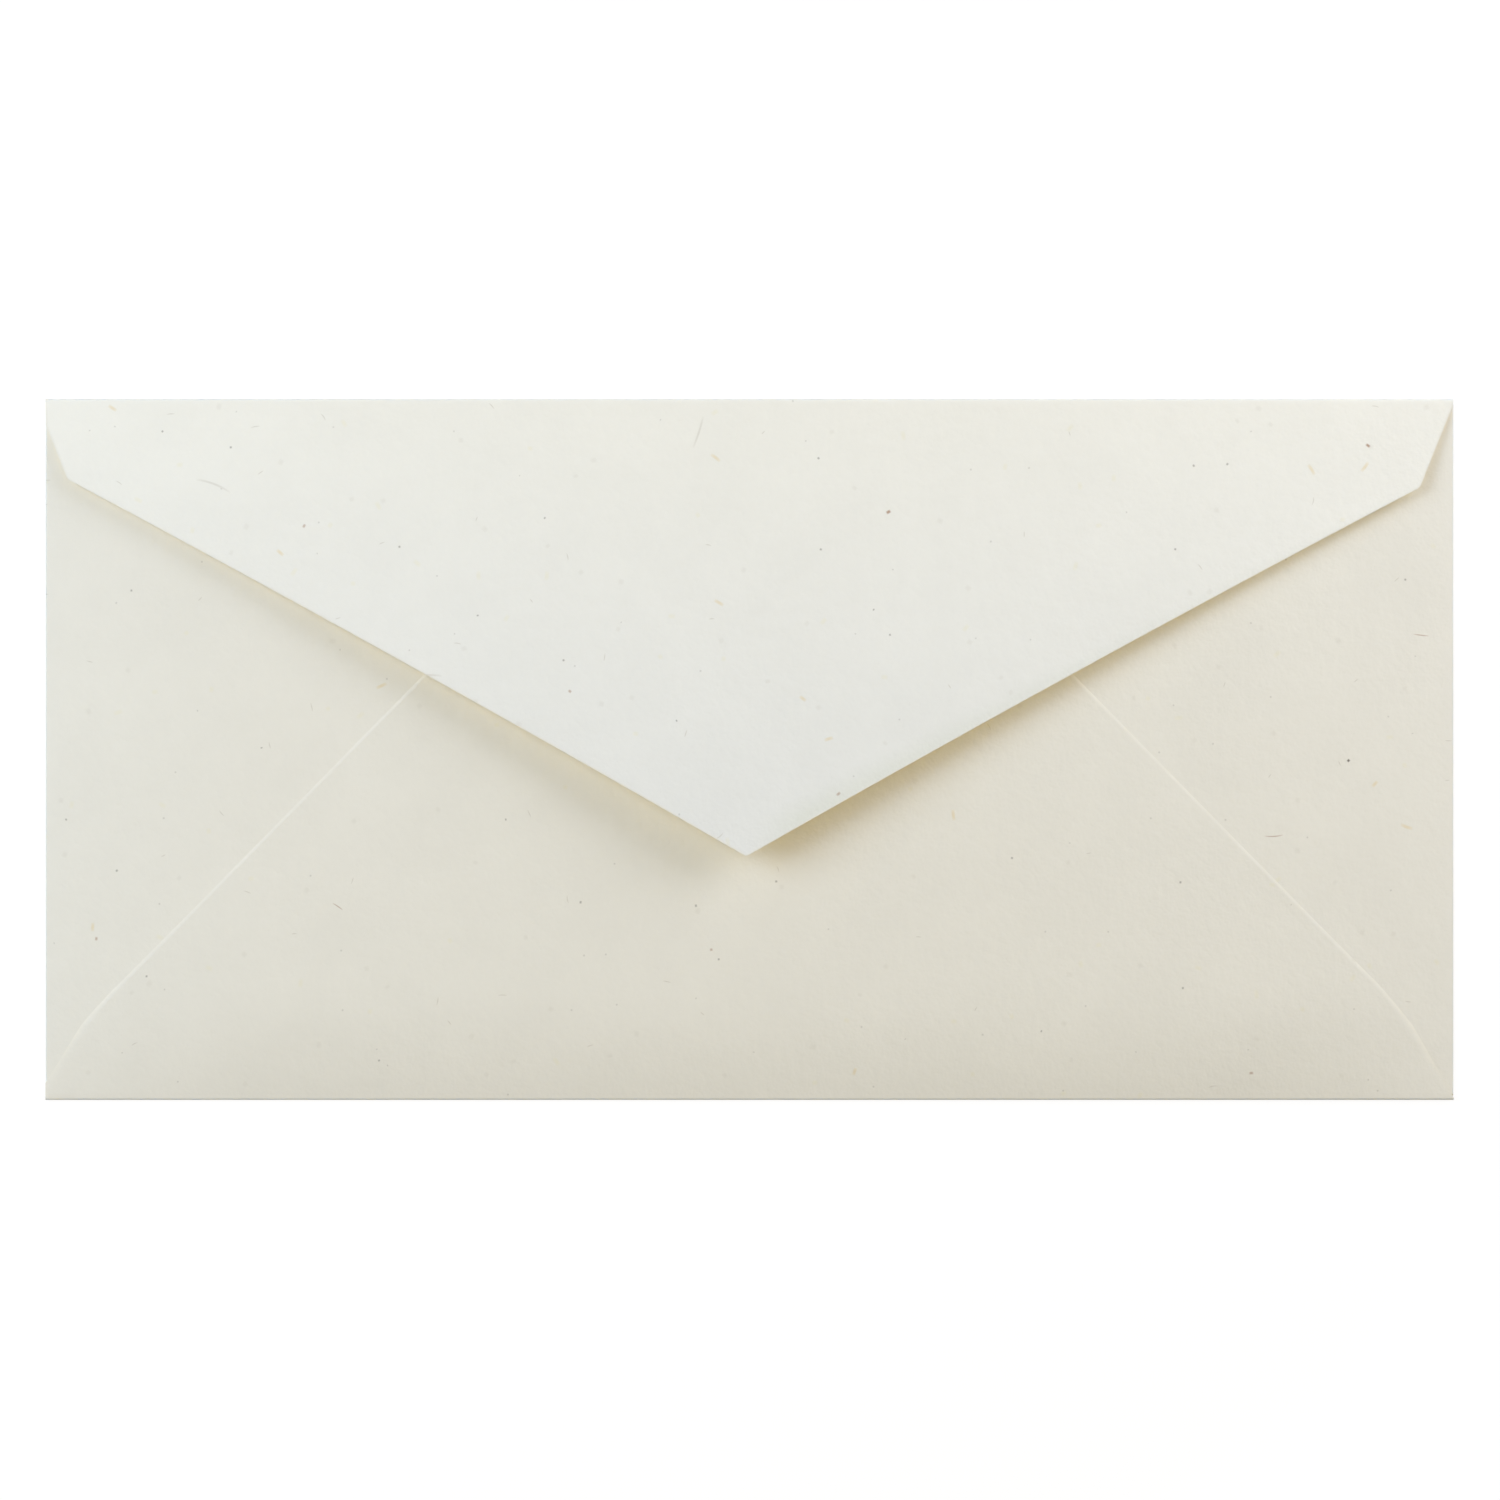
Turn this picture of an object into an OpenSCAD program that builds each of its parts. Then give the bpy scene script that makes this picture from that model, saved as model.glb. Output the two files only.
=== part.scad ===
// Paper envelope with a pointed closing flap, folded and glued from one die-cut sheet.
// It lies on its address side. X runs along the width, Y towards the top fold, Z up.
// The bottom flap is glued on top of the two side flaps, and the closing flap is unsealed
// and stands a little off the back.

/* [Envelope] */
// Width across the side folds
envelope_w = 220; // [180:1:330]
// Height from the bottom fold to the top fold
envelope_h = 110; // [100:1:230]

/* [Paper] */
// Thickness of the sheet
paper_t = 0.16; // [0.1:0.01:0.3]
// Air space between the front panel and the side flaps
pocket_gap = 0.7; // [0.4:0.1:2]
// Length of the die-cut notch that parts two flaps at a corner
corner_notch = 0.2; // [0.1:0.1:2]

/* [Closing flap] */
// Depth of the flap's point below the top fold, seen from above
flap_h = 71.5; // [50:0.5:90]
// Angle at which the flap stands off the back
flap_lift = 6; // [1:0.5:20]
// Depth of the straight stretch of the flap's side edges, next to the fold
flap_root_h = 2.5; // [1.5:0.1:6]
// Distance of the shoulder from the side fold
shoulder_in = 4.6; // [3:0.1:20]
// Depth of the shoulder below the top fold
shoulder_h = 13.3; // [9:0.1:25]
// Radius of the shoulder
shoulder_r = 1.5; // [1:0.5:8]
// Inward bow of each long edge of the flap
edge_bow = 0.5; // [0:0.1:2]
// Radius of the point
tip_r = 0.8; // [0.4:0.1:6]
// Clearance between the folded flap and the layers below it
flap_clear = 0.1; // [0.05:0.05:1]

/* [Bottom flap] */
// Height of the bottom flap above the bottom fold
bottom_flap_h = 77; // [60:1:85]
// Height at which its slanted edge leaves the side fold
seam_start = 1.5; // [0:0.1:3]
// Distance of the knee in its edge from the side fold
knee_in = 7.8; // [4:0.1:12]
// Height of the knee above the bottom fold
knee_h = 14.8; // [9:0.1:20]
// Radius of the knee
knee_r = 16; // [2:1:24]
// Angle between the seam above the knee and the bottom fold
seam_angle = 45; // [40:1:50]
// Radius of its two upper corners
bottom_corner_r = 8; // [1:1:12]

/* [Side flaps] */
// Width of a side flap from its fold to its end
side_flap_w = 68; // [45:1:75]
// Height of the lower corner of its end above the bottom fold
side_end_h = 53; // [30:1:60]
// Length of its end
side_end_len = 22; // [10:1:30]
// Radius of the corners of its end
side_corner_r = 8; // [1:1:10]

/* [Hidden] */

arc_steps = 12;
bow_steps = 10;
half_w = envelope_w / 2;
half_h = envelope_h / 2;

// Each fold wraps round the layers inside it, and is tangent to the front panel.
side_fold_r = (2 * paper_t + pocket_gap) / 2;
bottom_fold_r = (3 * paper_t + pocket_gap) / 2;
top_fold_r = (4 * paper_t + pocket_gap + flap_clear) / 2;
side_fold_x = half_w - side_fold_r;
bottom_fold_y = bottom_fold_r - half_h;
top_fold_y = half_h - top_fold_r;

// A side flap's sheet runs on this far into the front panel, so that the two are one solid.
panel_lap = 1;
side_flap_low_y = bottom_fold_y + corner_notch;
side_flap_high_y = top_fold_y - corner_notch;
// Height of the point of the closing flap, and how far a cutter runs past the paper.
envelope_t = 2 * top_fold_r + flap_h * tan(flap_lift);
cut_over = 1;

// Points along an arc from angle a to angle b.
function arc(centre, r, a, b) =
    [for (i = [0:arc_steps]) let (at = a + (b - a) * i / arc_steps) centre + r * [cos(at), sin(at)]];

function unit(v) = v / norm(v);

// Points of the arc of radius r that rounds corner v between its neighbours p and q.
function round_corner(p, v, q, r) =
    let (
        to_p = unit(p - v),
        to_q = unit(q - v),
        half_angle = acos(to_p * to_q) / 2,
        centre = v + unit(to_p + to_q) * r / sin(half_angle),
        first = v + to_p * r / tan(half_angle) - centre,
        turn = sign(cross(to_p, to_q)) * (2 * half_angle - 180)
    )
    [for (i = [0:arc_steps])
        let (at = turn * i / arc_steps)
        centre + [first.x * cos(at) - first.y * sin(at), first.x * sin(at) + first.y * cos(at)]];

// An outline from corners given as [x, y, radius], where radius 0 keeps the corner sharp.
function rounded(corners) =
    let (n = len(corners), flat = [for (c = corners) [c.x, c.y]])
    [for (i = [0:n - 1])
        each corners[i].z > 0
            ? round_corner(flat[(i + n - 1) % n], flat[i], flat[(i + 1) % n], corners[i].z)
            : [flat[i]]];

// Sharp points from p to q, along a shallow curve whose middle lies the given amount to the right.
function bowed(p, q, bow) =
    let (side = unit([q.y - p.y, p.x - q.x]))
    [for (i = [1:bow_steps - 1])
        let (s = i / bow_steps, at = p + (q - p) * s + side * 4 * bow * s * (1 - s))
        [at.x, at.y, 0]];

function mirrored(points) = [for (i = [len(points) - 1:-1:0]) [-points[i].x, points[i].y, points[i].z]];

// Everything within an outline of the flat blank, from below the envelope to above its point.
module through(outline) {
    translate([0, 0, -cut_over]) linear_extrude(envelope_t + 2 * cut_over) polygon(outline);
}

// A fold's section drawn in X and Z, carried along Y from y0 to y1.
module along_y(section, y0, y1) {
    translate([0, y1, 0]) rotate([90, 0, 0]) linear_extrude(y1 - y0) polygon(section);
}

// A fold's section drawn in Y and Z, carried along X over the given width.
module along_x(section, width) {
    rotate([90, 0, 90]) linear_extrude(width, center = true) polygon(section);
}

// The address side, flat between the four folds.
module front_panel() {
    translate([-side_fold_x, bottom_fold_y, 0])
        cube([2 * side_fold_x, top_fold_y - bottom_fold_y, paper_t]);
}

// The right-hand side flap with its fold, turned in over the pocket.
module side_flap() {
    centre = [side_fold_x, side_fold_r];
    end_x = half_w - side_flap_w;
    section = concat(
        [[side_fold_x - panel_lap, 0]],
        arc(centre, side_fold_r, -90, 90),
        [[end_x, 2 * side_fold_r], [end_x, 2 * side_fold_r - paper_t]],
        arc(centre, side_fold_r - paper_t, 90, -90),
        [[side_fold_x - panel_lap, paper_t]]
    );
    end_low_y = side_end_h - half_h;
    blank = rounded([
        [half_w + cut_over, side_flap_low_y, 0],
        [half_w + cut_over, side_flap_high_y, 0],
        [side_fold_x, side_flap_high_y, 0],
        [end_x, end_low_y + side_end_len, side_corner_r],
        [end_x, end_low_y, side_corner_r],
        [side_fold_x, side_flap_low_y, 0]
    ]);
    intersection() {
        along_y(section, side_flap_low_y, side_flap_high_y);
        through(blank);
    }
}

// The bottom flap with its fold, which starts at the edge of the front panel and is a little
// wider. It is glued down on the side flaps.
module bottom_flap() {
    centre = [bottom_fold_y, bottom_fold_r];
    end_y = bottom_flap_h - half_h;
    section = concat(
        arc(centre, bottom_fold_r, 270, 90),
        [[end_y, 2 * bottom_fold_r], [end_y, 2 * bottom_fold_r - paper_t]],
        arc(centre, bottom_fold_r - paper_t, 90, 270)
    );
    corner_x = half_w - knee_in - (bottom_flap_h - knee_h) / tan(seam_angle);
    right_edge = [
        [half_w, -half_h - cut_over, 0],
        [half_w, seam_start - half_h, 0],
        [half_w - knee_in, knee_h - half_h, knee_r],
        [corner_x, end_y, bottom_corner_r]
    ];
    intersection() {
        along_x(section, envelope_w);
        through(rounded(concat(right_edge, mirrored(right_edge))));
    }
}

// The closing flap with the top fold, which springs open by the lift.
module closing_flap() {
    centre = [top_fold_y, top_fold_r];
    open_at = 90 - flap_lift;
    along = flap_h / cos(flap_lift) * [-cos(flap_lift), sin(flap_lift)];
    over = arc(centre, top_fold_r, -90, open_at);
    under = arc(centre, top_fold_r - paper_t, open_at, -90);
    section = concat(over, [over[arc_steps] + along, under[0] + along], under);
    shoulder = [half_w - shoulder_in, half_h - shoulder_h];
    tip = [0, half_h - flap_h];
    right_edge = concat(
        [[half_w, half_h + cut_over, 0], [half_w, half_h - flap_root_h, 0]],
        [[shoulder.x, shoulder.y, shoulder_r]],
        bowed(shoulder, tip, edge_bow)
    );
    intersection() {
        along_x(section, envelope_w);
        through(rounded(concat(right_edge, [[tip.x, tip.y, tip_r]], mirrored(right_edge))));
    }
}

module envelope() {
    color("#E4E2D9") union() {
        front_panel();
        side_flap();
        mirror([1, 0, 0]) side_flap();
        bottom_flap();
        closing_flap();
    }
}

envelope();
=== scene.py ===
"""A natural white paper envelope, folded from its flat blank and lit for a picture from above."""

import math
from collections import namedtuple
from types import SimpleNamespace

import bmesh
import bpy
from bpy.props import FloatProperty, FloatVectorProperty, IntProperty, PointerProperty
from bpy.types import Operator, Panel, PropertyGroup
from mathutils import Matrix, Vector, noise


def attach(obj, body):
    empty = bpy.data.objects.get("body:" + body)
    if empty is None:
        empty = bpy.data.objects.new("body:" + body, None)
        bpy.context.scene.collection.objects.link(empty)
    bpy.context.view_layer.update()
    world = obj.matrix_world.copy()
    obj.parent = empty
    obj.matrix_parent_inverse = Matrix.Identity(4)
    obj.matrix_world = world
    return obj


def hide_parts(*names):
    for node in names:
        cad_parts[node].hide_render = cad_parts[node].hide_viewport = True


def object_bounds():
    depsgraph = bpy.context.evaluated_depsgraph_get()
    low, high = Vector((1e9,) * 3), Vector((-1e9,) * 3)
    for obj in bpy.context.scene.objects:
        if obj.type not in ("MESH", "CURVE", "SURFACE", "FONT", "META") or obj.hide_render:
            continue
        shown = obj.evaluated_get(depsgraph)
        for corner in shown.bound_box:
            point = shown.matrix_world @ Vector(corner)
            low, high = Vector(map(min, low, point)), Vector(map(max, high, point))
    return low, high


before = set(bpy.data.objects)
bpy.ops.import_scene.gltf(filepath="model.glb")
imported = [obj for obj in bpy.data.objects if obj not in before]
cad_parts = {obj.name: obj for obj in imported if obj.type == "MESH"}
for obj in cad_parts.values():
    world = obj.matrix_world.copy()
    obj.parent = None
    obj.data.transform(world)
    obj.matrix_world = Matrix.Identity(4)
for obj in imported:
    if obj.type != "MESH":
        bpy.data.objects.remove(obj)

bl_info = {
    "name": "Paper Envelope",
    "version": (1, 0, 0),
    "blender": (4, 5, 0),
    "location": "3D View > Sidebar > Envelope",
    "description": "Folds a paper envelope from one die-cut blank, and sets its stage",
    "category": "Object",
}

MM = 0.001
CAD_LOW, CAD_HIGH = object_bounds()

# The sheet's UV map, and the two layers on its corners that the paper reads.
BLANK_MAP = "Blank"
# This layer marks the cut edges, where the paper paints a highlight on the pressed seam and shade along
# the closing flap's cut. It also sets how far the seam is pressed.
CUT_EDGE = "cut_edge"
# This layer marks the side and bottom folds, which the paper darkens with painted shade.
FOLD_SHADE = "crease"

# How far the inner face is moved along Y in the map, in metres. There it lies below the sheet,
# where the paper has neither the closing flap's painted light and shade nor its right edge's darker
# strip.
INNER_FACE_SHIFT = -0.5

# Corners this close to a cut, in metres, count as lying on it.
TOUCH = 1e-7

# Width of a border's second ring, as a part of the first one's.
SECOND_RING = 0.25

# A noise pattern seldom leaves this part of its range, so this part is stretched to the whole.
NOISE_LOW, NOISE_HIGH = 0.3, 0.7

# Half a fleck's length is between these parts of its kind's length.
SHORTEST_HALF, LONGEST_HALF = 0.25, 0.5

# Its sides fade out between these parts of its kind's width, from its middle line.
SIDE_FULL, SIDE_GONE = 0.2, 0.8

# The power that keeps its ends blunt.
BLUNTNESS = 0.35

# A kind's seed moves its pattern along X, in metres, and this many times as far along Y.
SEED_SLANT = 1.7

# Flecks in the pulp, by colour. Spacing, length and width are in millimetres, bend is how far
# one curls as a part of its length, share is the part of places that hold one, and strength is
# how much of its colour shows.
Fleck = namedtuple("Fleck", "colour spacing length width bend share strength seed")
FLECKS = (
    Fleck("fibre", 13, 1.5, 0.14, 0.4, 0.35, 0.4, 0.11),
    Fleck("fibre", 10, 1.2, 0.7, 0.0, 0.4, 0.12, 0.19),
    Fleck("fibre", 60, 7, 0.3, 0.5, 0.3, 0.3, 0.23),
    Fleck("speck", 11, 0.4, 0.26, 0.0, 0.4, 0.22, 0.31),
    Fleck("speck", 17, 0.5, 0.3, 0.0, 0.35, 0.48, 0.37),
    Fleck("chaff", 11, 1.6, 0.6, 0.2, 0.35, 0.16, 0.43),
    Fleck("straw", 27, 2.1, 0.45, 0.2, 0.4, 0.34, 0.61),
    Fleck("husk", 34, 0.8, 0.36, 0.2, 0.35, 0.5, 0.67),
    Fleck("husk", 44, 3.4, 0.14, 0.3, 0.25, 0.55, 0.83),
    Fleck("speck", 52, 0.8, 0.36, 0.0, 0.35, 0.9, 0.53),
    Fleck("husk", 57, 0.8, 0.6, 0.0, 0.35, 0.75, 0.71),
)


def linear(hex_colour):
    """An sRGB colour written as RRGGBB, as the linear values that a shader takes."""
    parts = [int(hex_colour[i : i + 2], 16) / 255 for i in (0, 2, 4)]
    return [p / 12.92 if p <= 0.04045 else ((p + 0.055) / 1.055) ** 2.4 for p in parts]


def length(name, description, default):
    """A length in metres that a user can change."""
    return FloatProperty(name=name, description=description, default=default, unit="LENGTH")


def lengths(name, description, default):
    """Two or three lengths in metres that belong together, such as the place of a corner."""
    return FloatVectorProperty(
        name=name, description=description, default=default, size=len(default), unit="LENGTH"
    )


def angle(name, description, degrees):
    """An angle that a user can change, from its size in degrees."""
    return FloatProperty(
        name=name, description=description, default=math.radians(degrees), unit="ROTATION"
    )


def share(name, description, default):
    """A part of a whole, from 0 to 1."""
    return FloatProperty(
        name=name, description=description, default=default, min=0, max=1, subtype="FACTOR"
    )


def colour(name, description, hex_colour):
    """The colour of a surface, from its sRGB hex value."""
    return FloatVectorProperty(
        name=name, description=description, default=linear(hex_colour), subtype="COLOR", min=0, max=1
    )


def light(name, description, default):
    """The linear colour of a light. One without a power of its own holds its strength too."""
    return FloatVectorProperty(name=name, description=description, default=default, subtype="COLOR")


def power(name, description, default):
    """The power of a lamp, in watts."""
    return FloatProperty(name=name, description=description, default=default, unit="POWER")


class EnvelopeShape(PropertyGroup):
    """Sizes of the finished envelope and of the sheet that it is folded from."""

    width: length("Width", "Width across the side folds", CAD_HIGH.x - CAD_LOW.x)
    height: length("Height", "Height from the bottom fold to the top fold", 109.5 * MM)
    sheet: length("Sheet", "Thickness of the paper", 0.16 * MM)
    pocket: length("Pocket", "Air space between the two walls at the folds", 0.2 * MM)
    clearance: length("Flap clearance", "Room under the closing flap at its fold", 0.1 * MM)
    notch: length("Notch", "Length of the notch between two flaps at a corner", 0.2 * MM)

    flap_depth: length("Flap depth", "Depth of the flap's point below the top fold", 71.25 * MM)
    flap_lift: angle("Flap lift", "Angle between the flap and the back", 6)
    tip_shift: length("Tip shift", "How far the point lies to the left of the middle", 0.53 * MM)
    tip_round: length("Tip radius", "Radius of the flap's point", 0.5 * MM)
    edge_bow: length("Edge bow", "Inward bow of the flap's long edges", 0.52 * MM)
    flap_inset: length("Flap inset", "How much narrower each side of the flap is than the fold", 0.2 * MM)
    left_root: length("Left root", "Depth at which the flap's left side edge turns inwards", 4.1 * MM)
    right_root: length("Right root", "Depth at which the flap's right side edge turns inwards", 1 * MM)
    left_shoulder: lengths(
        "Left shoulder", "Its distance from the side and from the top fold", (3.67 * MM, 12.6 * MM)
    )
    right_shoulder: lengths(
        "Right shoulder", "Its distance from the side and from the top fold", (5.6 * MM, 13.95 * MM)
    )
    shoulder_round: length("Shoulder radius", "Radius of the flap's shoulders", 1.5 * MM)
    # Width of the ring along the closing flap's cut that carries its painted shade.
    cut_border: length("Cut border", "Width of the torn pulp along the closing flap's cut", 0.4 * MM)
    # Sizes of the darker strip along the closing flap's right edge.
    strip_width: length("Gum width", "Width of the gummed strip under the flap's right edge", 5.5 * MM)
    strip_slip: length("Gum slip", "How far the strip runs off the flap at the shoulder", 4 * MM)
    strip_end: length("Gum end", "Distance from the flap's point over which the strip thins out", 12 * MM)

    bottom_flap: length("Bottom flap", "Height of the bottom flap", 77 * MM)
    left_start: length("Left seam start", "Height at which the left seam leaves the side", 2.6 * MM)
    right_start: length("Right seam start", "Height at which the right seam leaves it", 0.3 * MM)
    left_knee: lengths(
        "Left knee", "Its distance from the side and from the bottom fold", (7.2 * MM, 14.3 * MM)
    )
    right_knee: lengths(
        "Right knee", "Its distance from the side and from the bottom fold", (8.47 * MM, 15.27 * MM)
    )
    knee_round: length("Knee radius", "Radius of the knee in each seam", 40 * MM)
    seam_angle: angle("Seam angle", "Angle of each seam above its knee", 45.5)
    seam_ramp: length("Seam ramp", "Width over which the bottom flap's edge is pressed down", 0.9 * MM)
    seam_press: share("Seam press", "Part of the paper's thickness that the pressed edge loses", 0.85)
    seam_fade: length("Seam fade", "Height below which the pressed edge fades out", 16 * MM)

    side_flap: length("Side flap", "Width of a side flap", 68 * MM)
    side_end: lengths("Side flap end", "Heights of the two corners of its end", (53 * MM, 75 * MM))
    flap_round: length("Flap radius", "Radius of the hidden corners of the inner flaps", 8 * MM)

    swell: length("Swell", "How far the empty pocket bulges in the middle", 1.7 * MM)
    side_reach: length("Side reach", "Distance from a side fold over which it rises", 38 * MM)
    bottom_reach: length("Bottom reach", "Distance from the bottom fold over which it rises", 16.7 * MM)
    top_reach: length("Top reach", "Distance from the top fold over which it rises", 70 * MM)
    ripple: length("Ripple", "Height of the slow unevenness of the sheet", 0.03 * MM)
    ripple_length: length("Ripple length", "Distance between two rises of the sheet", 24 * MM)

    mesh_step: length("Mesh step", "Spacing of the cuts across the flat sheet", 3 * MM)
    bow_step: length("Bow step", "Spacing of the corners along the flap's bowed edges", 9 * MM)
    fold_steps: IntProperty(name="Fold steps", description="Cuts round each fold", default=8, min=2)
    corner_steps: IntProperty(
        name="Corner steps", description="Cuts round each corner of the blank", default=10, min=1
    )
    sharp_angle: angle("Sharp angle", "Edges that turn by more than this stay sharp", 40)


class EnvelopeLook(PropertyGroup):
    """Colours of the paper and of what is mixed into its pulp, and the scale of its surface."""

    paper: colour("Paper", "Natural white pulp", "E8E6DC")
    cloud: colour("Cloud", "Filter over the paper where the pulp lies thicker", "FCFCFC")
    # Painted light and shade on the closing flap: lighter by its fold, darker and cooler towards its
    # point.
    flap_fold_light: colour("Flap at its fold", "Where the single sheet lies close to the back", "EFEEE5")
    flap_point_shade: colour("Flap at its point", "Where it stands off the back and lets more light by", "E6E8E6")
    # Painted shade on the folds, where the paper turns away from the light.
    crease: colour("Crease", "Stretched paper round a fold", "E3E4DD")
    # Painted highlight along the bottom flap's pressed edge.
    seam: colour("Seam", "The bottom flap's edge, pressed down and polished", "F3F0E3")
    # Painted shade along the closing flap's cut edge.
    flap_edge_shade: colour("Flap edge", "Open pulp along the closing flap's cut", "E3E2D9")
    # A darker tint along the closing flap's right edge.
    right_strip: colour("Gum", "The gummed strip, which shows through the flap", "E0E3DB")

    speck: colour("Speck", "Dark bits of bark", "5A5348")
    fibre: colour("Fibre", "Grey-brown fibres just under the surface", "B9B3A4")
    straw: colour("Straw", "Golden flecks of straw", "DCC274")
    chaff: colour("Chaff", "Pale yellow flecks deeper in the pulp", "E3DCA8")
    husk: colour("Husk", "Reddish-brown flecks of husk", "9A6A3C")

    cloud_size: length("Cloud size", "Distance between two thick places in the pulp", 14 * MM)
    # Distance over which the painted highlight and shade along the cut edges grow and fade.
    patch_size: length("Pressure size", "Distance over which the pressed edges vary", 3 * MM)
    felt_size: length("Felt size", "Distance between two dents that the felt left", 1.8 * MM)
    tooth_size: length("Tooth size", "Distance between two grains of the paper's tooth", 0.5 * MM)
    tooth_height: length("Tooth height", "Height of the tooth", 0.024 * MM)
    felt_height: FloatProperty(
        name="Felt height", description="Height of the felt's dents, in heights of the tooth", default=3
    )
    # The least strength of the painted highlight and shade along the cut edges.
    faintest_edge: share("Faintest edge", "Part of its own colour that a cut edge shows at least", 0.55)
    polished: share("Polished", "Roughness of the paper where the pulp lies thin", 0.82)
    matt: share("Matt", "Roughness of the paper where the pulp lies thick", 0.92)


class EnvelopeStage(PropertyGroup):
    """The floor, the lights and the camera."""

    picture_width: length("Picture width", "Width that the picture covers at the paper", 234.55 * MM)
    lens: FloatProperty(
        name="Lens", description="Focal length in millimetres", default=100, unit="CAMERA"
    )
    aim: lengths(
        "Aim", "Where the camera hangs, from the middle of the envelope", (0.06 * MM, -0.08 * MM)
    )

    left_place: lengths("Left place", "Where the left softbox hangs", (-0.48, 0.16, 0.407))
    left_size: length("Left size", "Width of the left softbox", 0.44)
    left_power: power("Left power", "Watts of the left softbox", 3.16)
    left_light: light("Left light", "Its cool daylight colour", (0.743, 0.842, 1.0))
    right_place: lengths("Right place", "Where the right softbox hangs", (0.397, 0.217, 0.216))
    right_size: length("Right size", "Width of the right softbox", 0.3)
    right_power: power("Right power", "Watts of the right softbox", 1.44)
    right_light: light("Right light", "Its cool colour", (0.873, 0.898, 1.0))
    top_place: lengths("Top place", "Where the light overhead hangs", (0.01, -0.048, 0.9))
    top_size: length("Top size", "Width of the light overhead", 0.1)
    top_power: power("Top power", "Watts of the light overhead", 3.21)
    top_light: light("Top light", "Its warm colour", (1.0, 0.661, 0.026))

    sky: light("Sky", "Colour and strength of the light from above", (0.0, 0.081, 0.227))
    horizon: light(
        "Horizon", "Colour and strength of the light from low down all round", (0.4, 0.4, 0.38)
    )
    horizon_height: share("Horizon height", "Sine of the angle at which the sky's colour is full", 0.3)

    floor: colour("Floor", "Pale paper sweep", "E6E6E6")
    floor_reach: length("Floor reach", "How far the floor runs from the middle", 3)
    floor_gap: length("Floor gap", "How far the floor lies below the paper", 0.02 * MM)
    shadow: share("Shadow", "Part of the lamps' light on the floor that the picture shows", 0.14)
    glow: share("Glow", "The floor's own white under the envelope", 0.89)
    glow_start: length("Glow start", "Distance from the middle where it begins to grow to full", 0.13)
    glow_end: length("Glow end", "Distance from the middle where it is full white", 0.3)


def fold_lines(shape):
    """Where the front panel ends at each fold, the fold's outer radius, and its length round.

    A fold wraps the layers inside it: two at a side, three at the bottom and four at the top.
    """
    side = (2 * shape.sheet + shape.pocket) / 2
    bottom = (3 * shape.sheet + shape.pocket) / 2
    top = (4 * shape.sheet + shape.pocket + shape.clearance) / 2
    return SimpleNamespace(
        side=side,
        bottom=bottom,
        top=top,
        side_x=shape.width / 2 - side,
        bottom_y=bottom - shape.height / 2,
        top_y=shape.height / 2 - top,
        side_arc=math.pi * (side - shape.sheet / 2),
        bottom_arc=math.pi * (bottom - shape.sheet / 2),
        top_arc=(math.pi - shape.flap_lift) * (top - shape.sheet / 2),
    )


def round_a_fold(reach, radius, depth, sheet, turn):
    """How far out and how high a point of the sheet lies, once it is bent round a fold.

    reach is its distance past the start of the fold in the flat sheet, and depth its distance
    below the outer face.
    """
    middle = radius - sheet / 2
    bent = min(reach / middle, turn)
    rest = reach - bent * middle
    out = (radius - depth) * math.sin(bent) + rest * math.cos(bent)
    up = radius - (radius - depth) * math.cos(bent) + rest * math.sin(bent)
    return out, up


def rise(distance, reach):
    """0 at a fold, and 1 from reach onwards, with the steepest part at the fold."""
    left = 1 - min(max(distance / reach, 0), 1)
    return 1 - left**2


def swelling(x, y, shape, lines):
    """Height by which the pocket's back wall stands up at a place."""
    across = rise(lines.side_x - abs(x), shape.side_reach)
    upwards = rise(y - lines.bottom_y, shape.bottom_reach)
    downwards = rise(lines.top_y - y, shape.top_reach)
    return shape.swell * across * upwards * downwards


def unevenness(x, y, shape):
    """Height of the sheet's slow ripple at a place."""
    return shape.ripple * noise.noise(Vector((x, y, 0)) / shape.ripple_length)


def folded(point, shape, lines):
    """The place in the finished envelope of a point of the flat sheet.

    The sheet lies with its outer face down at z = 0 and its inner face at the sheet's thickness.
    """
    x, y, depth = point
    beyond_side = abs(x) - lines.side_x
    if beyond_side > 0 and lines.bottom_y < y < lines.top_y:
        out, up = round_a_fold(beyond_side, lines.side, depth, shape.sheet, math.pi)
        place = Vector((math.copysign(lines.side_x + out, x), y, up))
        lifted = min(up / (2 * lines.side), 1)
    elif y < lines.bottom_y:
        out, up = round_a_fold(lines.bottom_y - y, lines.bottom, depth, shape.sheet, math.pi)
        place = Vector((x, lines.bottom_y - out, up))
        lifted = min(up / (2 * lines.bottom), 1)
    elif y > lines.top_y:
        turn = math.pi - shape.flap_lift
        out, up = round_a_fold(y - lines.top_y, lines.top, depth, shape.sheet, turn)
        return Vector((x, lines.top_y + out, up))
    else:
        return Vector(point)
    place.z += lifted * swelling(place.x, place.y, shape, lines)
    place.z += lifted * unevenness(place.x, place.y, shape)
    return place


def past_top(depth, shape, lines):
    """Where in the flat sheet a point of the closing flap lies, from its depth seen from above."""
    middle = lines.top - shape.sheet / 2
    bend_end = lines.top_y + middle * math.sin(shape.flap_lift)
    flat = (bend_end - (shape.height / 2 - depth)) / math.cos(shape.flap_lift)
    return lines.top_y + lines.top_arc + flat


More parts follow.
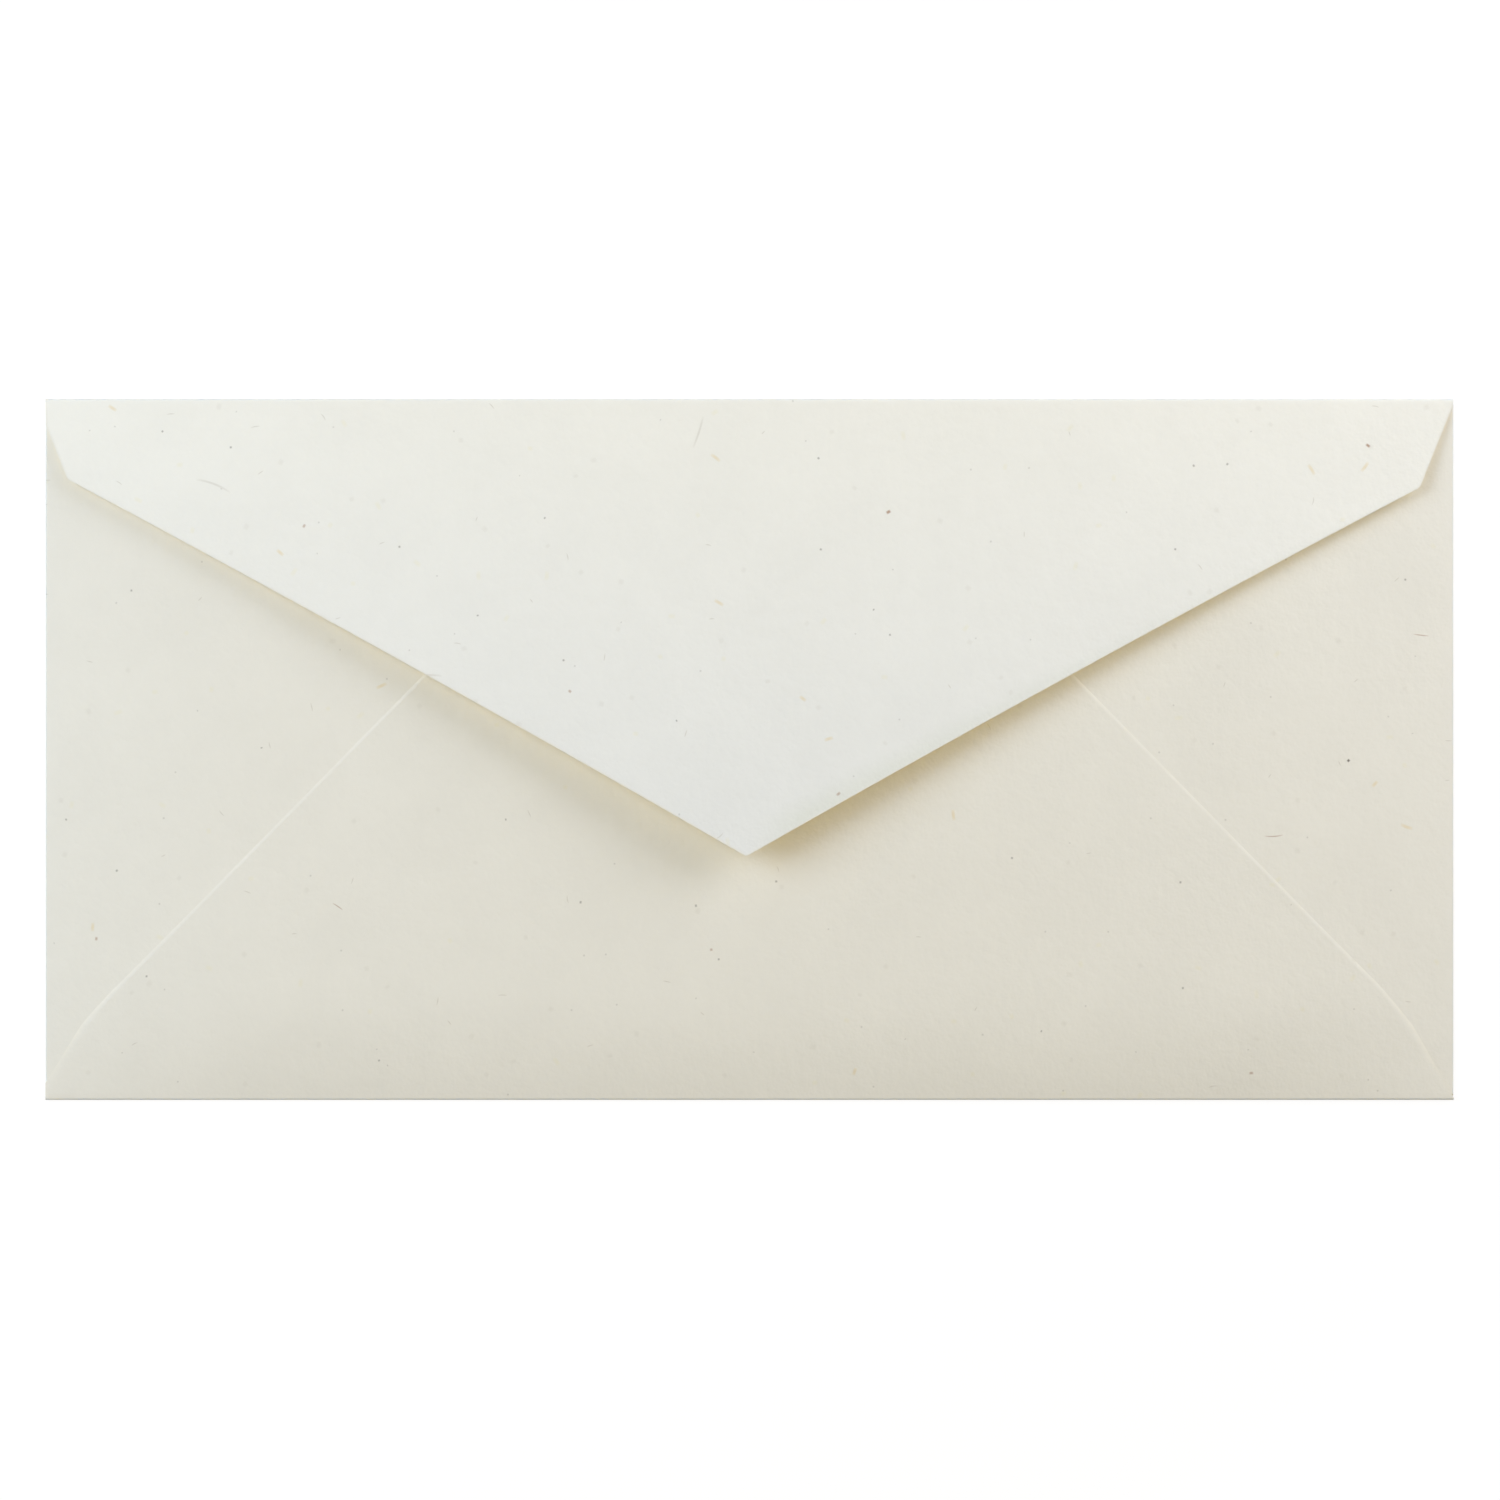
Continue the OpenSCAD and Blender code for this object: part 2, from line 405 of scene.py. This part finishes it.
def blank_corners(shape, lines):
    """Corners of the flat sheet, anticlockwise from the bottom flap, each with its radius."""
    half_w, half_h = shape.width / 2, shape.height / 2

    def past_side(x):
        return 2 * lines.side_x + lines.side_arc - x

    def past_bottom(y):
        return 2 * lines.bottom_y - lines.bottom_arc - y

    side_end_x = past_side(half_w - shape.side_flap)
    side_low = lines.bottom_y + shape.notch
    side_high = lines.top_y - shape.notch

    def bottom(knee, start):
        knee_x, knee_y = half_w - knee[0], knee[1] - half_h
        flap_end = shape.bottom_flap - half_h
        corner_x = knee_x - (flap_end - knee_y) / math.tan(shape.seam_angle)
        return [
            (corner_x, past_bottom(flap_end), shape.flap_round),
            (knee_x, past_bottom(knee_y), shape.knee_round),
            (half_w, past_bottom(start - half_h), 0),
            (half_w, lines.bottom_y, 0),
            (lines.side_x, lines.bottom_y, 0),
        ]

    side = [
        (lines.side_x, side_low, 0),
        (side_end_x, shape.side_end[0] - half_h, shape.flap_round),
        (side_end_x, shape.side_end[1] - half_h, shape.flap_round),
        (lines.side_x, side_high, 0),
        (lines.side_x, lines.top_y, 0),
    ]

    def closing(root, shoulder):
        return [
            (half_w, lines.top_y, 0),
            (half_w - shape.flap_inset, past_top(root, shape, lines), 0),
            (half_w - shoulder[0], past_top(shoulder[1], shape, lines), shape.shoulder_round),
        ]

    right = bottom(shape.right_knee, shape.right_start) + side
    right += closing(shape.right_root, shape.right_shoulder)
    left = bottom(shape.left_knee, shape.left_start) + side
    left += closing(shape.left_root, shape.left_shoulder)
    tip = [(-shape.tip_shift, past_top(shape.flap_depth, shape, lines), shape.tip_round)]
    return right + tip + [(-x, y, r) for x, y, r in reversed(left)]


def round_corner(bm, x, y, radius, segments):
    """Rounds the corner of the blank that lies at a place."""
    vert = min(bm.verts, key=lambda v: (v.co - Vector((x, y, 0))).length)
    ways = [(e.other_vert(vert).co - vert.co).normalized() for e in vert.link_edges]
    half_angle = ways[0].angle(ways[1]) / 2
    bmesh.ops.bevel(
        bm, geom=[vert], offset=radius / math.tan(half_angle), offset_type="OFFSET",
        segments=segments, profile=0.5, affect="VERTICES", material=-1,
    )


def bow_long_edges(bm, shape):
    """Bows the two longest edges of the sheet, which meet at the flap's point, inwards."""
    edges = sorted(bm.edges, key=lambda e: e.calc_length())[-2:]
    ends = {}
    for edge in edges:
        low, high = sorted((v.co.copy() for v in edge.verts), key=lambda co: co.y)
        ends[low.x > 0] = (low, high)
    cuts = round(edges[0].calc_length() / shape.bow_step)
    made = bmesh.ops.subdivide_edges(bm, edges=edges, cuts=cuts)["geom_inner"]
    for vert in (v for v in made if isinstance(v, bmesh.types.BMVert)):
        low, high = ends[vert.co.x > 0]
        along = (vert.co - low).length / (high - low).length
        inward = Vector((low.y - high.y, high.x - low.x, 0)).normalized()
        inward *= math.copysign(1, -inward.x * low.x)
        # A parabola, which reaches the whole bow halfway along.
        vert.co += inward * 4 * shape.edge_bow * along * (1 - along)


def cut(bm, axis, at):
    """Cuts the whole sheet across one axis, so that it can bend there."""
    place, normal = Vector((0, 0, 0)), Vector((0, 0, 0))
    place[axis], normal[axis] = at, 1
    everything = bm.verts[:] + bm.edges[:] + bm.faces[:]
    bmesh.ops.bisect_plane(bm, geom=everything, dist=TOUCH, plane_co=place, plane_no=normal)


def steps(start, end, step):
    """Evenly spaced places strictly between start and end, at most step apart."""
    count = math.ceil((end - start) / step)
    return [start + (end - start) * i / count for i in range(1, count)]


def border(bm, inside, width):
    """Rings one flap with a narrow border, and returns the corners along its cut edge.

    inside tells from a y whether it lies on the flap. A second, narrower ring keeps the border's
    slope out of the flat sheet.
    """
    flap = [f for f in bm.faces if inside(f.calc_center_median().y)]
    for ring in (width, SECOND_RING * width):
        bmesh.ops.inset_region(
            bm, faces=flap, thickness=ring, use_boundary=True, use_even_offset=True
        )
    return [v for v in bm.verts if v.is_boundary and inside(v.co.y)]


def cut_for_folding(bm, shape, lines):
    """Cuts the sheet closely along its folds, and into a mesh across its flat parts."""
    for i in range(shape.fold_steps + 1):
        part = i / shape.fold_steps
        cut(bm, 1, lines.bottom_y - lines.bottom_arc * part)
        cut(bm, 1, lines.top_y + lines.top_arc * part)
        cut(bm, 0, lines.side_x + lines.side_arc * part)
        cut(bm, 0, -lines.side_x - lines.side_arc * part)
    low = min(v.co.y for v in bm.verts)
    high = max(v.co.y for v in bm.verts)
    far = max(v.co.x for v in bm.verts)
    for start, end in (
        (low, lines.bottom_y - lines.bottom_arc),
        (lines.bottom_y, lines.top_y),
        (lines.top_y + lines.top_arc, high),
    ):
        for at in steps(start, end, shape.mesh_step):
            cut(bm, 1, at)
    for at in steps(-lines.side_x, lines.side_x, shape.mesh_step):
        cut(bm, 0, at)
    for at in steps(lines.side_x + lines.side_arc, far, shape.mesh_step):
        cut(bm, 0, at)
        cut(bm, 0, -at)


def flat_blank(shape, lines):
    """The die-cut sheet before folding: outlined, rounded, thickened and cut into a fine mesh."""
    bm = bmesh.new()
    corners = blank_corners(shape, lines)
    bm.faces.new([bm.verts.new((x, y, 0)) for x, y, _ in corners])
    for x, y, radius in corners:
        if radius:
            round_corner(bm, x, y, radius, shape.corner_steps)
    bow_long_edges(bm, shape)

    bottom_end = lines.bottom_y - lines.bottom_arc
    top_end = lines.top_y + lines.top_arc
    edge_layer = bm.verts.layers.float.new(CUT_EDGE)
    cut(bm, 1, bottom_end)
    cut(bm, 1, top_end)
    # The closing flap's cut gets a ring that carries its painted shade, and the bottom flap's edge one
    # that carries the painted highlight and the press of the seam.
    for vert in border(bm, lambda y: y > top_end + shape.sheet, shape.cut_border):
        vert[edge_layer] = 1
    pressed = border(bm, lambda y: y < bottom_end - shape.sheet, shape.seam_ramp)
    for vert in pressed:
        vert[edge_layer] = min((bottom_end - vert.co.y) / shape.seam_fade, 1)

    inner = bmesh.ops.extrude_face_region(bm, geom=bm.faces[:])["geom"]
    bmesh.ops.translate(
        bm, verts=[v for v in inner if isinstance(v, bmesh.types.BMVert)], vec=(0, 0, shape.sheet)
    )
    for vert in pressed:
        vert.co.z = shape.seam_press * shape.sheet * vert[edge_layer]

    cut_for_folding(bm, shape, lines)
    bmesh.ops.recalc_face_normals(bm, faces=bm.faces[:])
    bmesh.ops.triangulate(bm, faces=[f for f in bm.faces if len(f.verts) > 4])
    return bm


def map_blank(bm):
    """A UV map in metres of the flat sheet, with the inner face moved to a place of its own."""
    layer = bm.loops.layers.uv.new(BLANK_MAP)
    for face in bm.faces:
        shift = INNER_FACE_SHIFT if face.normal.z > 0.5 else 0
        for loop in face.loops:
            loop[layer].uv = (loop.vert.co.x, loop.vert.co.y + shift)


def mark_fold_shade(bm, lines):
    """Gives the corners on the side and bottom folds 1 in a layer that is 0 elsewhere, which tells the
    paper where to paint shade on the folds.
    """
    layer = bm.verts.layers.float.new(FOLD_SHADE)
    for vert in bm.verts:
        across = abs(vert.co.x) - lines.side_x
        down = lines.bottom_y - vert.co.y
        on_side = 0 < across < lines.side_arc and lines.bottom_y < vert.co.y < lines.top_y
        if on_side or 0 < down < lines.bottom_arc:
            vert[layer] = 1


def add(tree, kind, inputs=None, **settings):
    """Adds a shader node with its settings, and sets or links its inputs by name or number.

    A MapRange node takes its value as input 0, the range that it comes from as 1 and 2, and the
    range that it goes to as 3 and 4, where 0 to 1 is the default of both. A Mix node takes its
    factor as input 0 and its two colours as 6 and 7.
    """
    made = tree.nodes.new("ShaderNode" + kind)
    for name, value in settings.items():
        setattr(made, name, value)
    for name, value in (inputs or {}).items():
        if isinstance(value, bpy.types.NodeSocket):
            tree.links.new(value, made.inputs[name])
        else:
            made.inputs[name].default_value = value
    return made


def flecks(tree, place, kind):
    """A mask of one kind of fleck, scattered over the sheet and turned every way."""
    long, wide = kind.length * MM, kind.width * MM
    start = (kind.seed, kind.seed * SEED_SLANT, 0)
    moved = add(tree, "VectorMath", {0: place, 1: start}, operation="ADD")
    cells = add(
        tree, "TexVoronoi", {"Vector": moved.outputs[0], "Scale": 1 / (kind.spacing * MM)},
        voronoi_dimensions="2D",
    )
    chance = add(tree, "SeparateColor", {0: cells.outputs["Color"]})
    away = add(
        tree, "VectorMath", {0: moved.outputs[0], 1: cells.outputs["Position"]}, operation="SUBTRACT"
    )
    turn = add(tree, "Math", {0: chance.outputs[0], 1: math.tau}, operation="MULTIPLY")
    turned = add(
        tree, "VectorRotate", {"Vector": away.outputs[0], "Angle": turn.outputs[0]},
        rotation_type="Z_AXIS",
    )
    part = add(tree, "SeparateXYZ", {0: turned.outputs[0]})
    curve = add(tree, "Math", {0: part.outputs[0], 1: part.outputs[0]}, operation="MULTIPLY")
    curl = add(tree, "MapRange", {0: chance.outputs[2], 3: -kind.bend / long, 4: kind.bend / long})
    across = add(
        tree, "Math", {0: curve.outputs[0], 1: curl.outputs[0], 2: part.outputs[1]},
        operation="MULTIPLY_ADD",
    )
    along_way = add(tree, "Math", {0: part.outputs[0]}, operation="ABSOLUTE")
    across_way = add(tree, "Math", {0: across.outputs[0]}, operation="ABSOLUTE")

    half_long = add(
        tree, "MapRange", {0: chance.outputs[1], 3: SHORTEST_HALF * long, 4: LONGEST_HALF * long}
    )
    ends = add(
        tree, "MapRange",
        {0: along_way.outputs[0], 1: 0.0, 2: half_long.outputs[0], 3: 1.0, 4: 0.0},
        interpolation_type="SMOOTHSTEP",
    )
    taper = add(tree, "Math", {0: ends.outputs[0], 1: BLUNTNESS}, operation="POWER")
    sides = add(
        tree, "MapRange",
        {0: across_way.outputs[0], 1: SIDE_FULL * wide, 2: SIDE_GONE * wide, 3: 1.0, 4: 0.0},
        interpolation_type="SMOOTHSTEP",
    )
    body = add(tree, "Math", {0: taper.outputs[0], 1: sides.outputs[0]}, operation="MULTIPLY")
    sum_chance = add(tree, "Math", {0: chance.outputs[0], 1: chance.outputs[2]}, operation="ADD")
    pick = add(tree, "Math", {0: sum_chance.outputs[0]}, operation="FRACT")
    chosen = add(tree, "Math", {0: pick.outputs[0], 1: kind.share}, operation="LESS_THAN")
    return add(
        tree, "Math", {0: body.outputs[0], 1: chosen.outputs[0]}, operation="MULTIPLY"
    ).outputs[0]


def blend(tree, under, over, mask, strength):
    """One colour over another where a mask shows it."""
    amount = add(tree, "Math", {0: mask, 1: strength}, operation="MULTIPLY")
    mixed = add(tree, "Mix", {0: amount.outputs[0], 6: under, 7: over}, data_type="RGBA")
    return mixed.outputs[2]


def right_strip_place(shape, lines):
    """Where the darker strip along the flap's right edge starts in the flat sheet, and the ways along it
    and to its inside.

    The strip runs a little askew, off the flap towards the shoulder.
    """
    shoulder = Vector((
        shape.width / 2 - shape.right_shoulder[0], past_top(shape.right_shoulder[1], shape, lines), 0
    ))
    tip = Vector((-shape.tip_shift, past_top(shape.flap_depth, shape, lines), 0))
    edge = shoulder - tip
    outward = Vector((-edge.y, edge.x, 0)).normalized()
    along = (edge + outward * shape.strip_slip).normalized()
    return SimpleNamespace(
        start=tip, along=along, inward=Vector((along.y, -along.x, 0)),
        width=shape.strip_width, end=shape.strip_end,
    )


def right_strip_mask(tree, place, right_strip):
    """1 on the darker strip along the flap's right edge, soft towards its inside and towards the flap's
    point.
    """
    away = add(tree, "VectorMath", {0: place, 1: right_strip.start}, operation="SUBTRACT").outputs[0]
    inwards = add(tree, "VectorMath", {0: away, 1: right_strip.inward}, operation="DOT_PRODUCT")
    strip = add(
        tree, "MapRange", {0: inwards.outputs["Value"], 1: 0.0, 2: right_strip.width, 3: 1.0, 4: 0.0},
        interpolation_type="SMOOTHSTEP",
    )
    onwards = add(tree, "VectorMath", {0: away, 1: right_strip.along}, operation="DOT_PRODUCT")
    begun = add(
        tree, "MapRange", {0: onwards.outputs["Value"], 1: 0.0, 2: right_strip.end},
        interpolation_type="SMOOTHSTEP",
    )
    return add(
        tree, "Math", {0: strip.outputs[0], 1: begun.outputs[0]}, operation="MULTIPLY"
    ).outputs[0]


def natural_paper(look, flap_start, flap_end, right_strip):
    """Uncoated natural white paper, unbleached pulp pressed on felt.

    To the eye it is matt, warm white and softly clouded, with a fine tooth, and with
    straw, fibres and bits of bark scattered through it. Its colour also holds painted light and shade
    on the closing flap, along its cut, on the folds and on the seam.
    """
    material = bpy.data.materials.new("natural_white_paper")
    material.use_nodes = True
    tree = material.node_tree
    tree.nodes.clear()
    place = add(tree, "UVMap", uv_map=BLANK_MAP).outputs[0]
    part = add(tree, "SeparateXYZ", {0: place})
    # Size, detail and roughness of each pattern in the sheet.
    patterns = {
        "cloud": (look.cloud_size, 6, 0.72),
        "patchiness": (look.patch_size, 3, 0.5),
        "felt": (look.felt_size, 2, 0.5),
        "tooth": (look.tooth_size, 2, 0.5),
    }
    waves = {
        name: add(
            tree, "TexNoise",
            {"Vector": place, "Scale": 1 / size, "Detail": detail, "Roughness": roughness},
            noise_dimensions="2D",
        ).outputs[0]
        for name, (size, detail, roughness) in patterns.items()
    }

    # The closing flap's tint is painted light and shade: lighter by the fold, and darker and cooler
    # towards the point, in place of the light that passes through the single sheet.
    far = add(tree, "MapRange", {0: part.outputs[1], 1: flap_start, 2: flap_end})
    single = add(
        tree, "Mix", {0: far.outputs[0], 6: (*look.flap_fold_light, 1), 7: (*look.flap_point_shade, 1)},
        data_type="RGBA",
    )
    on_flap = add(
        tree, "Math", {0: part.outputs[1], 1: flap_start}, operation="GREATER_THAN"
    ).outputs[0]
    paint = blend(tree, (*look.paper, 1), single.outputs[2], on_flap, 1)
    # A darker strip along the flap's right edge.
    paint = blend(tree, paint, (*look.right_strip, 1), right_strip_mask(tree, place, right_strip), on_flap)

    # Cloudy pulp, a little darker where it lies thick.
    clouds = add(tree, "MapRange", {0: waves["cloud"], 1: NOISE_LOW, 2: NOISE_HIGH}).outputs[0]
    paint = add(
        tree, "Mix", {0: clouds, 6: paint, 7: (*look.cloud, 1)}, data_type="RGBA",
        blend_type="MULTIPLY",
    ).outputs[2]

    # Painted highlight along the pressed seam and painted shade along the closing flap's cut, both patchy
    # along their length.
    patchiness = add(
        tree, "MapRange",
        {0: waves["patchiness"], 1: NOISE_LOW, 2: NOISE_HIGH, 3: look.faintest_edge, 4: 1.0},
    )
    on_edge = add(tree, "Attribute", attribute_name=CUT_EDGE).outputs["Fac"]
    edge = add(tree, "Math", {0: on_edge, 1: patchiness.outputs[0]}, operation="MULTIPLY").outputs[0]
    edge_highlight_and_shade = add(
        tree, "Mix", {0: on_flap, 6: (*look.seam, 1), 7: (*look.flap_edge_shade, 1)}, data_type="RGBA"
    )
    paint = blend(tree, paint, edge_highlight_and_shade.outputs[2], edge, 1)
    # Painted shade on the side and bottom folds.
    crease = add(tree, "Attribute", attribute_name=FOLD_SHADE).outputs["Fac"]
    paint = blend(tree, paint, (*look.crease, 1), crease, 1)
    for kind in FLECKS:
        tint = (*getattr(look, kind.colour), 1)
        paint = blend(tree, paint, tint, flecks(tree, place, kind), kind.strength)

    relief = add(
        tree, "Math", {0: waves["felt"], 1: look.felt_height, 2: waves["tooth"]},
        operation="MULTIPLY_ADD",
    ).outputs[0]
    bump = add(tree, "Bump", {"Strength": 1.0, "Distance": look.tooth_height, "Height": relief})
    roughness = add(tree, "MapRange", {0: clouds, 3: look.polished, 4: look.matt}).outputs[0]
    # The IOR of cellulose. Its loose fibres mirror half as much as a closed surface would.
    skin = add(
        tree, "BsdfPrincipled",
        {
            "Base Color": paint,
            "Roughness": roughness,
            "IOR": 1.5,
            "Specular IOR Level": 0.25,
            "Normal": bump.outputs[0],
        },
    )
    add(tree, "OutputMaterial", {"Surface": skin.outputs[0]})
    return material


class ENVELOPE_OT_fold_sheet(Operator):
    """Cut the flat blank, fold it into the envelope and give it its paper"""

    bl_idname = "envelope.fold_sheet"
    bl_label = "Fold Envelope"

    def execute(self, context):
        shape, look = context.scene.envelope_shape, context.scene.envelope_look
        lines = fold_lines(shape)
        bm = flat_blank(shape, lines)
        map_blank(bm)
        mark_fold_shade(bm, lines)
        flap_end = max(v.co.y for v in bm.verts)
        for vert in bm.verts:
            vert.co = folded(vert.co, shape, lines)
        mesh = bpy.data.meshes.new("folded_envelope")
        bm.to_mesh(mesh)
        bm.free()
        mesh.shade_smooth()
        mesh.set_sharp_from_angle(angle=shape.sharp_angle)
        mesh.materials.append(natural_paper(look, lines.top_y, flap_end, right_strip_place(shape, lines)))
        piece = bpy.data.objects.new("folded_envelope", mesh)
        context.scene.collection.objects.link(piece)
        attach(piece, "root")
        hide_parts("envelope")
        return {"FINISHED"}


def white_background_paper(stage):
    """Matt white background paper, which the picture shows as white but for the shadow on it."""
    material = bpy.data.materials.new("white_background_paper")
    material.use_nodes = True
    tree = material.node_tree
    tree.nodes.clear()
    ray = add(tree, "LightPath")
    seen = add(
        tree, "Math", {0: ray.outputs["Is Camera Ray"], 1: ray.outputs["Is Glossy Ray"]},
        operation="MAXIMUM",
    )
    matt = add(tree, "BsdfDiffuse", {"Color": (*stage.floor, 1)})
    place = add(tree, "TexCoord").outputs["Object"]
    far = add(tree, "VectorMath", {0: place}, operation="LENGTH").outputs["Value"]
    white = add(
        tree, "MapRange", {0: far, 1: stage.glow_start, 2: stage.glow_end, 3: stage.glow, 4: 1.0}
    ).outputs[0]
    glow = add(tree, "Emission", {"Color": (1, 1, 1, 1), "Strength": white})
    faint = add(tree, "BsdfDiffuse", {"Color": (stage.shadow, stage.shadow, stage.shadow, 1)})
    both = add(tree, "AddShader", {0: faint.outputs[0], 1: glow.outputs[0]})
    shown = add(tree, "MixShader", {0: seen.outputs[0], 1: matt.outputs[0], 2: both.outputs[0]})
    add(tree, "OutputMaterial", {"Surface": shown.outputs[0]})
    return material


def lay_floor(scene, stage):
    """A wide floor just under the envelope."""
    bm = bmesh.new()
    bmesh.ops.create_grid(bm, x_segments=1, y_segments=1, size=stage.floor_reach)
    bmesh.ops.translate(bm, verts=bm.verts[:], vec=(0, 0, -stage.floor_gap))
    mesh = bpy.data.meshes.new("floor")
    bm.to_mesh(mesh)
    bm.free()
    mesh.materials.append(white_background_paper(stage))
    floor = bpy.data.objects.new("floor", mesh)
    scene.collection.objects.link(floor)


def hang_softbox(scene, name, place, size, watts, tint):
    """A round softbox that points at the middle of the envelope."""
    lamp_data = bpy.data.lights.new(name, "AREA")
    lamp_data.shape = "DISK"
    lamp_data.size = size
    lamp_data.energy = watts
    lamp_data.color = tint
    lamp = bpy.data.objects.new(name, lamp_data)
    lamp.location = place
    lamp.rotation_euler = (-Vector(place)).to_track_quat("-Z", "Y").to_euler()
    lamp.visible_camera = False
    scene.collection.objects.link(lamp)


def studio_world(stage):
    """Light from the sky and from the horizon, behind which the camera sees plain white."""
    world = bpy.data.worlds.new("studio")
    world.use_nodes = True
    tree = world.node_tree
    tree.nodes.clear()
    ray = add(tree, "LightPath")
    way = add(tree, "SeparateXYZ", {0: add(tree, "TexCoord").outputs["Generated"]})
    above = add(tree, "MapRange", {0: way.outputs[2], 1: 0.0, 2: stage.horizon_height})
    tint = add(
        tree, "Mix", {0: above.outputs[0], 6: (*stage.horizon, 1), 7: (*stage.sky, 1)},
        data_type="RGBA",
    )
    around = add(tree, "Background", {"Color": tint.outputs[2], "Strength": 1.0})
    white = add(tree, "Background", {"Color": (1, 1, 1, 1), "Strength": 1.0})
    shown = add(
        tree, "MixShader",
        {0: ray.outputs["Is Camera Ray"], 1: around.outputs[0], 2: white.outputs[0]},
    )
    add(tree, "OutputWorld", {"Surface": shown.outputs[0]})
    return world


def hang_camera(scene, stage):
    """A camera that looks straight down, from as high as its lens needs for the picture's width."""
    camera = bpy.data.cameras.new("overhead_camera")
    camera.lens = stage.lens
    distance = stage.picture_width * camera.lens / camera.sensor_width
    eye = bpy.data.objects.new("overhead_camera", camera)
    eye.location = (*stage.aim, distance)
    scene.collection.objects.link(eye)
    scene.camera = eye


class ENVELOPE_OT_set_stage(Operator):
    """Lay the white floor, hang the softboxes and aim the camera straight down"""

    bl_idname = "envelope.set_stage"
    bl_label = "Set Stage"

    def execute(self, context):
        scene, stage = context.scene, context.scene.envelope_stage
        lay_floor(scene, stage)
        for side in ("left", "right", "top"):
            place, size, watts, tint = (
                getattr(stage, side + "_" + part) for part in ("place", "size", "power", "light")
            )
            hang_softbox(scene, side + "_softbox", place, size, watts, tint)
        scene.world = studio_world(stage)
        hang_camera(scene, stage)
        scene.view_settings.view_transform = "Standard"
        return {"FINISHED"}


class ENVELOPE_PT_panel(Panel):
    """Sidebar panel with the envelope's steps and sizes"""

    bl_idname = "ENVELOPE_PT_panel"
    bl_label = "Envelope"
    bl_space_type = "VIEW_3D"
    bl_region_type = "UI"
    bl_category = "Envelope"

    def draw(self, context):
        for operator in OPERATORS:
            self.layout.operator(operator.bl_idname)
        for name in SETTINGS:
            settings = getattr(context.scene, name)
            box = self.layout.box()
            for prop in settings.bl_rna.properties:
                if prop.identifier not in {"rna_type", "name"}:
                    box.prop(settings, prop.identifier)


SETTINGS = {
    "envelope_shape": EnvelopeShape,
    "envelope_look": EnvelopeLook,
    "envelope_stage": EnvelopeStage,
}
OPERATORS = (ENVELOPE_OT_fold_sheet, ENVELOPE_OT_set_stage)
CLASSES = (*SETTINGS.values(), *OPERATORS, ENVELOPE_PT_panel)


def register():
    for cls in CLASSES:
        bpy.utils.register_class(cls)
    for name, group in SETTINGS.items():
        setattr(bpy.types.Scene, name, PointerProperty(type=group))


def unregister():
    for name in SETTINGS:
        delattr(bpy.types.Scene, name)
    for cls in reversed(CLASSES):
        bpy.utils.unregister_class(cls)


def main():
    register()
    bpy.ops.envelope.fold_sheet()
    bpy.ops.envelope.set_stage()


if __name__ == "__main__":
    main()
